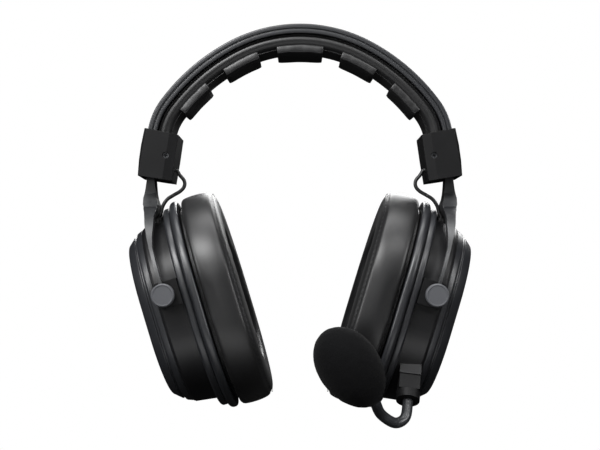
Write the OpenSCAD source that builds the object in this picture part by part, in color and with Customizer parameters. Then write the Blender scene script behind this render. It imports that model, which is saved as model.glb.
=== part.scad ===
// Over-ear gaming headset with a plug-in boom microphone.
// Origin: middle of the centre head pad's underside, where the headset rests on a head.
// +Z is up, -Y is the wearer's front, +X is the wearer's left, the microphone side.
// Every side part is modelled for the wearer's right (-X) and mirrored for the left.

/* [Headband] */
// Height of the strap's top above the head pad's underside
strap_top = 16; // [15.6:0.1:16.6]
// Width of the strap and the cushion, front to back
strap_w = 29.6; // [27:0.1:29.6]
// Thickness of the outer strap
strap_t = 5; // [4.4:0.1:5.2]
// Thickness of the cushion under the strap
cushion_t = 6.8; // [6:0.1:7]
// Width of each head pad, front to back
pad_w = 28.6; // [26:0.2:29]

/* [Fit] */
// How far each side pulls out of the headband
slide_travel = 25; // [15:1:26]
// Lean of each ear cup, bottom inwards, in degrees
cup_tilt = 16.9; // [16:0.1:18.5]

/* [Ear cup] */
// Half width of the housing at its open end, front to back
housing_r = 40; // [39.5:0.1:40.2]
// Length of the straight stretch in the cup's oval, above and below its middle
oval_e = 8.9; // [8.7:0.1:9.3]
// Half width of the ear pad, front to back
ear_pad_r = 47.3; // [46:0.1:48]
// Half width of the ear pad's opening, front to back
ear_hole_r = 23.4; // [21:0.1:25]
// Radius of the pivot knobs
knob_r = 5.75; // [5:0.05:6]

/* [Microphone] */
// Radius of the microphone boom
boom_r = 2.6; // [2:0.1:2.7]
// Length of the foam windscreen
foam_len = 42.6; // [40:0.1:44]
// Diameter of the foam windscreen
foam_d = 29.6; // [26:0.1:31]

/* [Hidden] */
$fn = 96;

black = "#1c1c1e";
satin = "#2a2b2d";
graphite = "#55565a";
steel = "#9a9ca0";
soft = "#161617";
copper = "#b07a48";

gap = 0.3;            // between bodies that slide past each other
pin_gap = 0.05;       // between a pin and its bore, on the radius
far = 200;            // longer than the whole headset

// The arch's outer line: [radius, degrees turned] from the top down, then straight
arch_arcs = [[78, 28], [105, 25.5], [37, 22], [60, 6]];
arch_end = 112;       // where the strap stops inside the end cap, along the outer line
arch_step = 4;         // length of the straight facets along the arch
spring_end = 90;
spring_t = 0.8;
spring_w = 16;
cushion_top = strap_t + spring_t;
cushion_low = cushion_top + cushion_t;
roll_low = cushion_top + 4;     // the cushion's full-width roll ends here
liner_w = 26;                  // the cushion is this narrow under the roll
lead_y = 10.5;
lead_groove = 2;

// Frame of the end cap: its bottom centre, and its lean
cap_x = -74.8;
cap_z = -64.2;
cap_lean = 9;
cap_half_w = 16.8;
cap_h = 30;
cap_wall_y = 14.9;
cap_screw = [3.9, 12.5];
guide_top = 14.2;
detent_x = 1.2;
lead_hole = [9, -5.5, 6.2];
lead_hole_r = 1.5;

// Frame of the yoke: the stem's middle where it leaves the end cap
stem_x = -77.8;
stem_half_t = 2.1;
stem_half_w = 5.5;
stem_up = 36.5;
hinge_x = 10.93;
hinge_z = -123.8;
eye_in = 43.8;
eye_out = 46.4;
eye_r = 5.4;
shaft_r = 2.2;
pivot_u = 0.6;
pivot_w = 10;

// The cup's stations along its own axis, outwards negative
housing_back = -4.2;
housing_front = 8.8;
ring_front = 12.8;
frame_front = 17.2;
pad_front = 38.8;
board_u = -3.9;
board_t = 1.4;
block_half = 6.5;
block_out = 43.4;
block_in = 36.4;
block_back = -3;
block_front = 8.6;
post_back = -1.6;
baffle_back = 10.6;
baffle_t = 2;
rim_u = 2;
grommet = [5.9, -6];
grommet_low = 44.5;
screw_rho = 34.8;
screw_angles = [45, 135, -4, -115];

// The microphone socket opens downwards at the lower front of the cup
mic_root = [0.5, -33.5, -33.65];
mic_turn = [145, 10];
plug_half = [5.2, 5];
plug_len = 8;
collar_len = 12.5;
boss_half = [5.4, 5.5];
boss_len = 9;
jack_r = 1.75;
jack_len = 14;
line_y = -6;
line_r = 1.8;
line_len = 14;
usb_size = [3.2, 9, 7.4];
usb_y = 5;
button_angle = -20;
button_r = 2.6;
wheel_angle = -45;
wheel_rho = 31;
wheel_r = 9.5;

// Where the foam's middle hangs, and the way the capsule points
foam_mid = [-23.6, -70, -157.4];
foam_dir = [0.57, -0.2, 0.797];
capsule_r = 5;

function normal(h) = [-sin(h), cos(h)];

// [point, heading] at a length s down the arch's outer line
function walk(s, i = 0, p = [0, strap_top], h = 0) =
  i == len(arch_arcs) ? [p - s * [cos(h), sin(h)], h] :
  let (r = arch_arcs[i][0], a = arch_arcs[i][1], turned = s / r * 180 / PI)
  turned <= a ? [p + r * (normal(h + turned) - normal(h)), h + turned] :
  walk(s - r * a * PI / 180, i + 1, p + r * (normal(h + a) - normal(h)), h + a);

function arch_knot(i, depth) = let (w = walk(i * arch_step)) w[0] - depth * normal(w[1]);

// A point at a depth under the faceted arch; negative s is the wearer's right
function arch_point(s, depth) =
  let (t = abs(s) / arch_step, i = floor(t), f = t - i,
       p = (1 - f) * arch_knot(i, depth) + f * arch_knot(i + 1, depth))
  [s > 0 ? -p.x : p.x, p.y];

function lean(p, a) = [p.x * cos(a) - p.z * sin(a), p.y, p.x * sin(a) + p.z * cos(a)];

// A point of the cup, [inwards, back, up], in the headset's frame on the right side
function cup_point(p) =
  lean([p.x - pivot_u, p.y, p.z - pivot_w], cup_tilt) + [stem_x + hinge_x, 0, hinge_z];
function cap_point(p) = lean(p, -cap_lean) + [cap_x, 0, cap_z];
function rim_point(angle, rho, u) =
  [u, rho * cos(angle), rho * sin(angle) + (angle < 0 ? -oval_e : oval_e)];
function mic_point(out) = cup_point(mic_root + out *
  [cos(mic_turn[0]) * sin(mic_turn[1]), -sin(mic_turn[0]), cos(mic_turn[0]) * cos(mic_turn[1])]);
function unit(v) = v / norm(v);

// The lead's loop: out of the end cap, round, and down into the cup's grommet
lead_route = concat(
  [for (x = [5.5, 7.6, 9.7]) cap_point([x, lead_hole.y, lead_hole.z])],
  [[-62.6, -5.5, -62], [-60.4, -5.6, -64.8], [-60.3, -5.7, -67.8], [-62.3, -5.8, -70.3],
   [-65.8, -5.9, -72.4], [-69.1, -5.9, -74.6], [-71.4, -5.9, -78], [-72.3, -5.9, -81.6]],
  [for (w = [49.9 : -2.2 : 45.5]) cup_point([grommet.x, grommet.y, w])]);
lead_r = 0.95;

// The boom's route: out of the plug's collar, down and round, and up into the capsule
boom_route = [for (out = [collar_len - 3, collar_len + 1]) mic_point(out),
              [-51.9, -45, -182.2], [-49.8, -47, -184.8], [-46.4, -49.5, -185.6],
              [-42.6, -52.5, -183.8], [-38.4, -56.5, -180],
              for (back = [21, 17]) foam_mid - back * foam_dir];
boom_split = 4;

module side(left) {
  if (left) mirror([1, 0, 0]) children();
  else children();
}

module arch_band(from, to, top, low, width, y = 0) {
  knots = [for (i = [floor(from / arch_step) + 1 : ceil(to / arch_step) - 1]) i * arch_step];
  marks = concat([from], knots, [to]);
  last = len(marks) - 1;
  translate([0, y, 0]) rotate([90, 0, 0]) linear_extrude(width, center = true)
    polygon(concat([for (s = marks) arch_point(s, top)],
                   [for (i = [last : -1 : 0]) arch_point(marks[i], low)]));
}

module cap_frame() { translate([cap_x, 0, cap_z]) rotate([0, cap_lean, 0]) children(); }
module yoke_frame() { translate([stem_x, 0, 0]) children(); }
module cup_frame() {
  yoke_frame() translate([hinge_x, 0, hinge_z]) rotate([0, -cup_tilt, 0])
    translate([-pivot_u, 0, -pivot_w]) children();
}

// Sweeps a [radius, station] outline round the cup's oval
module oval() {
  rotate([0, 90, 0]) {
    for (a = [0, 180]) rotate([0, 0, a]) translate([oval_e, 0, 0]) rotate([0, 0, -90])
      rotate_extrude(angle = 180) children();
    translate([-oval_e, 0, 0]) rotate([90, 0, 90]) linear_extrude(2 * oval_e) {
      children();
      mirror([1, 0]) children();
    }
  }
}

module oval_plate(r, u, t) { oval() translate([0, u]) square([r, t]); }

// A round cord through the route's points from the first to the last given
module tube(route, r, sides = 8, first = 0, last) {
  end = is_undef(last) ? len(route) - 1 : last;
  n = end - first + 1;
  along = [for (i = [first : end])
    unit(route[min(i + 1, len(route) - 1)] - route[max(i - 1, 0)])];
  flat = [for (t = along) unit(cross(t, [0.3, 1, 0.2]))];
  points = [for (i = [0 : n - 1], k = [0 : sides - 1])
    let (a = 360 * k / sides)
    route[first + i] + r * (cos(a) * flat[i] + sin(a) * cross(along[i], flat[i]))];
  walls = [for (i = [0 : n - 2], k = [0 : sides - 1], half = [0, 1])
    let (a = i * sides + k, b = i * sides + (k + 1) % sides)
    half == 0 ? [a, b, b + sides] : [a, b + sides, a + sides]];
  polyhedron(points, concat([[for (k = [sides - 1 : -1 : 0]) k]], walls,
                            [[for (k = [0 : sides - 1]) (n - 1) * sides + k]]));
}

// The slot that the yoke's stem slides in
module stem_slot() {
  yoke_frame() translate([0, 0, cap_z]) rotate([0, cap_lean, 0])
    translate([-stem_half_t - gap, -stem_half_w - gap, -2])
      cube([2 * (stem_half_t + gap), 2 * (stem_half_w + gap), stem_up + 3]);
}

module stem_slots() {
  stem_slot();
  mirror([1, 0, 0]) stem_slot();
}

module headband_strap() {
  groove = 0.7;
  color(satin) difference() {
    arch_band(-arch_end, arch_end, 0, strap_t, strap_w);
    for (y = [-1, 1])
      arch_band(-arch_end - 1, arch_end + 1, strap_t / 2, strap_t / 2 + groove,
                2 * groove, y * strap_w / 2);
    stem_slots();
  }
}

module headband_spring() {
  color(steel) arch_band(-spring_end, spring_end, strap_t, cushion_top, spring_w);
}

module cap_walls() {
  for (left = [false, true]) side(left) cap_frame() difference() {
    cap_outside();
    cap_inside();
  }
}

module headband_cushion() {
  color(soft) difference() {
    union() {
      arch_band(-arch_end, arch_end, cushion_top, roll_low, strap_w);
      arch_band(-arch_end, arch_end, roll_low, cushion_low, liner_w);
    }
    cap_walls();
    arch_band(-arch_end - 1, arch_end + 1, cushion_top - 1, cushion_top + lead_groove,
              lead_groove, lead_y);
    stem_slots();
  }
}

module headband_lead() {
  color(black) arch_band(-arch_end, arch_end, cushion_top + 0.2,
                         cushion_top + lead_groove - 0.1, lead_groove - 0.3, lead_y);
}

module head_pad(middle, half) {
  color(soft) difference() {
    arch_band(middle - half, middle + half, roll_low, strap_top, pad_w);
    arch_band(middle - half - 1, middle + half + 1, roll_low - 1, cushion_low, liner_w);
  }
}

module cap_outside() {
  intersection() {
    rotate([90, 0, 0]) linear_extrude(2 * cap_half_w, center = true)
      polygon([[-8.6, 0], [-9.4, 8], [-9.6, 16], [-9.1, 24.7], [8.5, 24], [8.7, 12],
               [8.6, 0]]);
    linear_extrude(cap_h) polygon([
      for (y = [-1, 1], p = y < 0
           ? [[-10.3, 14.6], [-8.2, cap_half_w], [4, cap_half_w], [9, 15.2]]
           : [[9, 15.2], [4, cap_half_w], [-8.2, cap_half_w], [-10.3, 14.6]])
        [p.x, y * p.y]]);
  }
}

module cap_inside() {
  intersection() {
    rotate([90, 0, 0]) linear_extrude(2 * cap_half_w, center = true)
      polygon([[-7.2, -1], [-7.9, 8], [-8.1, 15], [-7.8, cap_h + 1], [7, cap_h + 1], [7.2, 12],
               [7.2, -1]]);
    translate([0, 0, -2]) linear_extrude(cap_h + 4) polygon([
      [-9, -cap_wall_y], [3.4, -cap_wall_y], [7.4, -13], [7.4, 13], [3.4, cap_wall_y],
      [-9, cap_wall_y]]);
  }
}

module cap_screw_at(y) {
  translate([cap_screw.x, 0, cap_screw.y]) rotate([y < 0 ? 90 : -90, 0, 0]) children();
}

module end_cap(left) {
  color(satin) side(left) cap_frame() difference() {
    cap_outside();
    cap_inside();
    for (y = [-1, 1]) cap_screw_at(y) {
      translate([0, 0, 10]) cylinder(r = 1.2, h = 10, $fn = 32);
      translate([0, 0, 15.2]) cylinder(r = 1.6, h = 5, $fn = 32);
    }
    lead_bore();
  }
}

module lead_bore() {
  translate([lead_hole.x - 5, lead_hole.y, lead_hole.z]) rotate([0, 90, 0])
    cylinder(r = lead_hole_r, h = 8, $fn = 32);
}

module slider_guide(left) {
  color(black) side(left) difference() {
    cap_frame() difference() {
      intersection() {
        cap_inside();
        translate([-10, -20, 0.6]) cube([20, 40, guide_top - 0.6]);
      }
      for (y = [-1, 1]) cap_screw_at(y)
        translate([0, 0, 8]) cylinder(r = 1.2, h = 10, $fn = 32);
      lead_bore();
      detent_pocket();
    }
    stem_slot();
  }
}

// A leaf spring in a pocket beside the stem clicks over the stem's notches
module detent_pocket() {
  translate([detent_x - 2.6, -3.05, 2.95]) cube([3.15, 6.1, 9.1]);
}

module slider_detents() {
  color(steel) for (left = [false, true]) side(left) cap_frame() {
    translate([detent_x, -3, 3]) cube([0.5, 6, 9]);
    translate([detent_x - 1.6, -3, 7]) cube([1.6, 6, 1]);
  }
}

module end_cap_screws() {
  color(steel) for (left = [false, true]) side(left) cap_frame()
    for (y = [-1, 1]) cap_screw_at(y) difference() {
      union() {
        translate([0, 0, 8.5]) cylinder(r = 1.15, h = 7, $fn = 32);
        translate([0, 0, 15.2]) cylinder(r = 1.5, h = 0.7, $fn = 32);
      }
      translate([0, 0, 15.6]) cube([1.9, 0.4, 1], center = true);
      translate([0, 0, 15.6]) cube([0.4, 1.9, 1], center = true);
    }
}

// Side view of the yoke: [x, z, half thickness] from the stem's top to the pivots
yoke_line = [
  [stem_up * sin(cap_lean), cap_z + stem_up * cos(cap_lean), stem_half_t],
  [0, cap_z, stem_half_t], [-0.15, -69, 2.6], [-0.35, -74, 3.35], [0.2, -77.4, 3.8],
  [0.7, -80, 3.35], [1, -82, 2.75], [1.3, -85, 2.3], [1.8, -88.4, 2.2],
  [2.65, -95, 1.45], [3.8, -100.5, 0.95], [hinge_x, hinge_z, 0.95]];

module yoke_side_view() {
  n = len(yoke_line);
  rotate([90, 0, 0]) linear_extrude(far, center = true) polygon(concat(
    [for (p = yoke_line) [p.x - p[2], p.y]],
    [for (i = [n - 1 : -1 : 0]) [yoke_line[i].x + yoke_line[i][2], yoke_line[i].y]]));
}

module yoke_front_view() {
  crotch = 2.4;
  block_gap = 7.4;
  rotate([90, 0, 90]) linear_extrude(far, center = true) {
    translate([0, hinge_z]) difference() {
      circle(r = eye_out);
      translate([0, -crotch]) circle(r = eye_in);
      translate([-eye_in, -crotch - 1]) square([2 * eye_in, crotch + 1 + block_gap]);
      translate([-far / 2, -far]) square([far, far]);
    }
    translate([-stem_half_w, hinge_z + eye_out - 4]) square([2 * stem_half_w, far]);
    translate([0, hinge_z + eye_out - 3])
      polygon([[-12, 0], [-stem_half_w, 9], [stem_half_w, 9], [12, 0]]);
  }
}

module yoke(left) {
  notches = 7;
  color(satin) side(left) yoke_frame() difference() {
    union() {
      intersection() {
        yoke_side_view();
        yoke_front_view();
      }
      for (y = [-1, 1]) translate([hinge_x, y * (eye_in + eye_out) / 2, hinge_z])
        rotate([90, 0, 0]) cylinder(r = eye_r, h = eye_out - eye_in, center = true);
    }
    for (y = [-1, 1]) translate([hinge_x, y * (eye_in + eye_out) / 2, hinge_z])
      rotate([90, 0, 0]) cylinder(r = shaft_r + pin_gap, h = 8, center = true, $fn = 48);
    for (i = [1 : notches]) translate([0, 0, cap_z]) rotate([0, cap_lean, 0])
      translate([stem_half_t, 0, 7.5 + i * slide_travel / notches])
        rotate([90, 0, 0]) cylinder(r = 0.45, h = 20, center = true, $fn = 24);
  }
}

module outer_cover(left) {
  color(satin) side(left) cup_frame() oval() polygon([
    [0, -13.6], [30.4, -13.6], [31.4, -13.2], [35, -9], [34.4, -8.5], [34.5, -7.8],
    [36.3, -7.3], [37.5, housing_back], [34.6, housing_back], [33.6, -7.2], [30, -11.6],
    [0, -11.6]]);
}

// Frame of the microphone's socket: z runs out of its mouth
module mic_frame() { translate(mic_root) rotate([mic_turn[0], mic_turn[1], 0]) children(); }

module rear_axis(angle, rho) {
  translate([rim_u, 0, -oval_e]) rotate([-90 + angle, 0, 0]) translate([0, 0, rho]) children();
}

module cup_housing(left) {
  color(satin) side(left) cup_frame() difference() {
    union() {
      oval() polygon([
        [37.5, housing_back], [38.3, -3], [housing_r - 0.4, 6], [housing_r, housing_front],
        [housing_r - 2.4, housing_front], [housing_r - 2.4, 5], [36.2, -1.6], [34, -1.6],
        [34, housing_back]]);
      for (a = screw_angles) translate(rim_point(a, screw_rho, post_back))
        rotate([0, 90, 0]) cylinder(r = 3.2, h = baffle_back - post_back, $fn = 48);
      if (left) mic_frame() translate([-boss_half.x, -boss_half.y, -boss_len])
        cube([2 * boss_half.x, 2 * boss_half.y, boss_len]);
    }
    for (a = screw_angles) translate(rim_point(a, screw_rho, 4))
      rotate([0, 90, 0]) cylinder(r = 1.25, h = 20, $fn = 32);
    for (y = [-1, 1]) translate([block_back, y * 40 - 6, pivot_w - block_half])
      cube([20, 12, 2 * block_half]);
    translate([grommet.x, grommet.y, 40]) cylinder(r = 2.45, h = 12, $fn = 32);
    if (left) {
      mic_frame() translate([0, 0, -17]) cylinder(r = 3, h = 20, $fn = 48);
      translate([board_u + board_t, usb_y - usb_size.y / 2, -60])
        cube([usb_size.x, usb_size.y, 40]);
      translate([board_u + board_t + 3, line_y, -60]) cylinder(r = 3, h = 40, $fn = 48);
      rear_axis(button_angle, 30) cylinder(r = button_r + 0.08, h = 20, $fn = 48);
      rear_axis(wheel_angle, wheel_rho) rotate([0, 90, 0])
        cylinder(r = wheel_r + 0.5, h = 3.4, center = true);
    }
  }
}

module pivot_blocks(left) {
  color(black) side(left) cup_frame() for (y = [-1, 1]) difference() {
    translate([block_back, y < 0 ? -block_out : block_in, pivot_w - block_half])
      cube([block_front - block_back, block_out - block_in, 2 * block_half]);
    translate([pivot_u, 0, pivot_w]) rotate([-90 * y, 0, 0])
      cylinder(r = shaft_r + pin_gap, h = far, $fn = 48);
  }
}

module pivot_knobs(left) {
  back = eye_out + gap;
  color(graphite) side(left) cup_frame() for (y = [-1, 1])
    translate([pivot_u, 0, pivot_w]) rotate([-90 * y, 0, 0]) rotate_extrude()
      polygon([[0, 37], [shaft_r, 37], [shaft_r, back], [knob_r - 0.3, back],
               [knob_r, back + 0.3], [knob_r, back + 4.5], [knob_r - 0.5, back + 5],
               [knob_r - 1, back + 5], [knob_r - 1.1, back + 4.8], [0, back + 4.8]]);
}

module trim_ring(left) {
  color(black) side(left) cup_frame() oval() polygon([
    [37.8, housing_front], [43.4, housing_front], [44.4, 9.8], [44.4, 12],
    [43.8, ring_front], [37.8, ring_front]]);
}

module pad_frame(left) {
  color(satin) side(left) cup_frame() oval() polygon([
    [34, ring_front], [45.3, ring_front], [46.3, 13.5], [46.9, 14.6], [46.9, 16.2],
    [46.2, frame_front], [40, frame_front], [40, 15.6], [34, 15.6]]);
}

module baffle(left) {
  color(black) side(left) cup_frame() difference() {
    oval_plate(37.5, baffle_back, baffle_t);
    rotate([0, 90, 0]) cylinder(r = 21.5, h = 20);
    for (a = screw_angles) translate(rim_point(a, screw_rho, 4))
      rotate([0, 90, 0]) cylinder(r = 1.25, h = 20, $fn = 32);
    for (z = [-1, 1], k = [-2 : 2]) translate([5, k * 6, z * 32]) rotate([0, 90, 0])
      cylinder(r = 1.6, h = 12, $fn = 24);
  }
}

module baffle_screws(left) {
  head = baffle_back + baffle_t;
  color(steel) side(left) cup_frame() for (a = screw_angles)
    translate(rim_point(a, screw_rho, 0)) rotate([0, 90, 0]) {
      translate([0, 0, 5]) cylinder(r = 1.2, h = head - 5, $fn = 32);
      translate([0, 0, head]) cylinder(r = 2.3, h = 0.15, $fn = 32);
    }
}

module round_driver() { rotate([0, 90, 0]) rotate_extrude() children(); }

module driver_basket(left) {
  color(graphite) side(left) cup_frame() round_driver() polygon([
    [25, baffle_back], [25, 9], [22, 8.6], [16, 4.2], [10.2, 4.2], [10.2, 5.4], [15.4, 5.6],
    [21, 9.6], [22.4, baffle_back]]);
}

module driver_magnet(left) {
  color(steel) side(left) cup_frame() round_driver()
    polygon([[0, -1.6], [9.4, -1.6], [10, -1], [10, 5.2], [0, 5.2]]);
}

module driver_cone(left) {
  color(copper) side(left) cup_frame() round_driver() polygon([
    [0, 9.1], [5, 8.8], [9, 7.8], [14, 9.8], [20.4, 10], [20.4, 10.4], [14, 10.2],
    [9, 8.2], [5, 9.2], [0, 9.5]]);
}

module ear_cloth(left) {
  color(soft) side(left) cup_frame() oval_plate(39.8, 15.7, 0.6);
}

module ear_pad(left) {
  color(soft) side(left) cup_frame() oval() polygon([
    [ear_hole_r, frame_front], [41.6, frame_front], [41.6, 19.6], [ear_pad_r - 1.2, 20],
    [ear_pad_r - 0.2, 23], [ear_pad_r, 28.6], [ear_pad_r - 0.5, 33],
    [ear_pad_r - 2, 36.4], [ear_pad_r - 5, 38.6], [ear_pad_r - 9.5, pad_front],
    [ear_hole_r + 7.5, pad_front - 0.2], [ear_hole_r + 2.6, 37], [ear_hole_r + 0.2, 33],
    [ear_hole_r - 0.2, 26]]);
}

module lead_grommet(left) {
  color(black) side(left) cup_frame() translate([grommet.x, grommet.y, grommet_low])
    difference() {
      cylinder(r = 2.4, h = 5, $fn = 32);
      translate([0, 0, -1]) cylinder(r = 1.3, h = 7, $fn = 32);
    }
}

module speaker_lead(left) {
  color(black) side(left) tube(lead_route, lead_r);
}

module circuit_board() {
  color("#1d4a2c") side(true) cup_frame() {
    difference() {
      oval_plate(33, board_u, board_t);
      mic_frame() translate([-boss_half.x - gap, -boss_half.y - gap, -boss_len - gap])
        cube(2 * [boss_half.x + gap, boss_half.y + gap, boss_len]);
      translate([-10, 0, 0]) rotate([0, 90, 0]) cylinder(r = 11.5, h = 20);
      rear_axis(wheel_angle, wheel_rho) rotate([0, 90, 0])
        cylinder(r = 0.9, h = 20, center = true, $fn = 48);
    }
    rear_axis(wheel_angle, wheel_rho) rotate([0, 90, 0])
      translate([0, 0, board_u - rim_u]) cylinder(r = 1, h = 8.4, $fn = 48);
    translate([board_u + board_t, 12, 14]) cube([1.2, 9, 9]);
    translate([board_u + board_t, -22, 8]) cube([1.6, 7, 12]);
  }
}

module battery() {
  color("#8b9096") side(false) cup_frame() translate([-10.2, -15, -20])
    cube([5, 30, 40]);
}

module usb_socket() {
  color(steel) side(true) cup_frame()
    translate([board_u + board_t, usb_y - usb_size.y / 2 + 0.05, -45.7]) difference() {
      cube([usb_size.x, usb_size.y - 0.1, usb_size.z]);
      translate([0.4, 0.4, -1]) cube([usb_size.x - 0.8, usb_size.y - 0.9, 7]);
    }
}

module line_socket() {
  color(black) side(true) cup_frame()
    translate([board_u + board_t + 3, line_y, -46.3]) difference() {
      cylinder(r = 2.95, h = line_len + 1.6, $fn = 48);
      translate([0, 0, -1]) cylinder(r = line_r, h = line_len + 1, $fn = 48);
    }
}

module power_button() {
  color(graphite) side(true) cup_frame() rear_axis(button_angle, 34.6) {
    cylinder(r = 3.4, h = 1.2, $fn = 48);
    cylinder(r = button_r, h = 5.2, $fn = 48);
  }
}

module volume_wheel() {
  color(black) side(true) cup_frame() rear_axis(wheel_angle, wheel_rho)
    rotate([0, 90, 0]) rotate_extrude() polygon([
      [1 + pin_gap, -1.3], [wheel_r - 0.4, -1.3], [wheel_r, -0.9], [wheel_r, 0.9],
      [wheel_r - 0.4, 1.3], [1 + pin_gap, 1.3]]);
}

module mic_socket() {
  color(black) side(true) cup_frame() mic_frame() difference() {
    translate([0, 0, -16]) cylinder(r = 2.95, h = 15.8, $fn = 48);
    translate([0, 0, -jack_len - 0.4]) cylinder(r = jack_r + pin_gap, h = 20, $fn = 48);
  }
}

// The housing's outside with a gap all round, which the plug's block stays clear of
module housing_clearance() {
  oval() polygon([[0, -14], [37.5 + gap, -14], [37.5 + gap, housing_back], [38.3 + gap, -3],
                  [housing_r - 0.4 + gap, 6], [housing_r + gap, housing_front],
                  [0, housing_front]]);
}

module mic_plug() {
  color(satin) side(true) cup_frame() {
    difference() {
      mic_frame() {
        translate([-plug_half.x, -plug_half.y, 0.15])
          cube([2 * plug_half.x, 2 * plug_half.y, plug_len - 0.15]);
        translate([0, 0, plug_len]) cylinder(r1 = 6, r2 = 5.8, h = collar_len - plug_len);
      }
      housing_clearance();
      mic_frame() translate([0, 0, collar_len - 3.2])
        cylinder(r = boom_r + pin_gap, h = 4, $fn = 48);
    }
    mic_frame() translate([0, 0, -jack_len]) cylinder(r = jack_r, h = jack_len + 2, $fn = 48);
  }
}

module mic_boom_lower() {
  color(black) side(true) tube(boom_route, boom_r, 12, 0, boom_split);
}

module mic_boom_upper() {
  color(black) side(true) tube(boom_route, boom_r, 12, boom_split);
}

// Places what follows the capsule's axis, from the foam's middle
module foam_frame() {
  side(true) translate(foam_mid)
    rotate([0, acos(foam_dir.z), atan2(foam_dir.y, foam_dir.x)]) children();
}

module mic_housing() {
  color(black) foam_frame() rotate_extrude() polygon([
    [0, -16.9], [3.4, -16.9], [capsule_r, -15], [capsule_r, 8], [4.2, 8], [4.2, 3],
    [0, 3]]);
}

module mic_capsule() {
  color(steel) foam_frame() translate([0, 0, 3.1]) cylinder(r = 4.1, h = 5);
}

module mic_windscreen() {
  steps = 18;
  color(soft) foam_frame() rotate_extrude() difference() {
    polygon([for (i = [0 : steps]) let (a = -90 + 180 * i / steps)
      [foam_d / 2 * cos(a) * (1 + 0.05 * sin(a)), foam_len / 2 * sin(a)]]);
    translate([0, -far]) square([capsule_r + 0.1, far + 8.2]);
  }
}

headband_strap();
headband_spring();
headband_cushion();
headband_lead();
head_pad(0, 14.5);  // head_pad_centre
head_pad(37.6, 11.5);  // head_pad_upper_left
head_pad(-37.6, 11.5);  // head_pad_upper_right
head_pad(72.5, 10.7);  // head_pad_lower_left
head_pad(-72.5, 10.7);  // head_pad_lower_right
end_cap(true);  // end_cap_left
end_cap(false);  // end_cap_right
slider_guide(true);  // slider_guide_left
slider_guide(false);  // slider_guide_right
slider_detents();
end_cap_screws();
yoke(true);  // yoke_left
yoke(false);  // yoke_right
outer_cover(true);  // outer_cover_left
outer_cover(false);  // outer_cover_right
cup_housing(true);  // cup_housing_left
cup_housing(false);  // cup_housing_right
pivot_blocks(true);  // pivot_blocks_left
pivot_blocks(false);  // pivot_blocks_right
pivot_knobs(true);  // pivot_knobs_left
pivot_knobs(false);  // pivot_knobs_right
trim_ring(true);  // trim_ring_left
trim_ring(false);  // trim_ring_right
pad_frame(true);  // pad_frame_left
pad_frame(false);  // pad_frame_right
baffle(true);  // baffle_left
baffle(false);  // baffle_right
baffle_screws(true);  // baffle_screws_left
baffle_screws(false);  // baffle_screws_right
driver_basket(true);  // driver_basket_left
driver_basket(false);  // driver_basket_right
driver_magnet(true);  // driver_magnet_left
driver_magnet(false);  // driver_magnet_right
driver_cone(true);  // driver_cone_left
driver_cone(false);  // driver_cone_right
ear_cloth(true);  // ear_cloth_left
ear_cloth(false);  // ear_cloth_right
ear_pad(true);  // ear_pad_left
ear_pad(false);  // ear_pad_right
lead_grommet(true);  // lead_grommet_left
lead_grommet(false);  // lead_grommet_right
speaker_lead(true);  // speaker_lead_left
speaker_lead(false);  // speaker_lead_right
circuit_board();
battery();
usb_socket();
line_socket();
power_button();
volume_wheel();
mic_socket();
mic_plug();
mic_boom_lower();
mic_boom_upper();
mic_housing();
mic_capsule();
mic_windscreen();
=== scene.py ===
import math

import bmesh
import bpy
import numpy as np
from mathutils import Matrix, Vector, noise


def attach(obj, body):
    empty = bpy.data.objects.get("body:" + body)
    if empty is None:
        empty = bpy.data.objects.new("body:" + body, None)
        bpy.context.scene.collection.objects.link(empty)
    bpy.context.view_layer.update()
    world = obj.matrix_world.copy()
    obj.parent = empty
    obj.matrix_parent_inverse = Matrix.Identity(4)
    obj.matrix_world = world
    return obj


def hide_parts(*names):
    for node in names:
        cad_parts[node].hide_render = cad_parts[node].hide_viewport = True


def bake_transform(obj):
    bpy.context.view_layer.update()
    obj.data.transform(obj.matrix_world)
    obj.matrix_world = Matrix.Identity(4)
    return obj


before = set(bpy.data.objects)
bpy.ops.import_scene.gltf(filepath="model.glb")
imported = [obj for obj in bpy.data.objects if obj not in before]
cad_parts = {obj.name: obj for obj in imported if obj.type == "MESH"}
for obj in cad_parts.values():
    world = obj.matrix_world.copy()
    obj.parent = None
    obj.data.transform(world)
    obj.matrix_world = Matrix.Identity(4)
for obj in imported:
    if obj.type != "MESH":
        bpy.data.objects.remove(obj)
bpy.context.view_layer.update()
scene = bpy.context.scene
mm = 0.001

# The headset's own measures, in millimetres, as the CAD has them.
arch = dict(top=16.0, arcs=((78, 28), (105, 25.5), (37, 22), (60, 6)), end=112.0,
            width=29.6, strap=5.0, cushionTop=5.8, rollLow=9.8, cushionLow=12.6,
            padWidth=28.6)
cap = dict(x=-74.8, z=-64.2, lean=9.0)
cup = dict(hinge=(-66.87, 0.0, -123.8), pivot=(0.6, 10.0), tilt=16.9, straight=8.9)
mic = dict(root=(0.5, -33.5, -33.65), turn=(145, 10), collar=12.5, boom=2.6,
           foamMid=(-23.6, -70.0, -157.4), foamDir=(0.57, -0.2, 0.797),
           foamLength=42.6, foamWidth=29.6)


# Geometry helpers work in millimetres, and buildMesh turns their points into metres.

def toMetres(points):
    return [tuple(float(c) * mm for c in p) for p in points]


def mirrored(p, left):
    # Points are given for the wearer's right side, at -x.
    return (-p[0], p[1], p[2]) if left else tuple(p)


def walk(s):
    # The place on the arch's outer line s from its top, and its heading in radians.
    x, z, h = 0.0, arch["top"], 0.0
    for radius, degrees in arch["arcs"]:
        turned = min(math.degrees(s / radius), degrees)
        a, b = math.radians(h), math.radians(h + turned)
        x += radius * (math.sin(a) - math.sin(b))
        z += radius * (math.cos(b) - math.cos(a))
        h += turned
        if turned < degrees:
            return x, z, math.radians(h)
        s -= radius * math.radians(degrees)
    a = math.radians(h)
    return x - s * math.cos(a), z - s * math.sin(a), a


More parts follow.
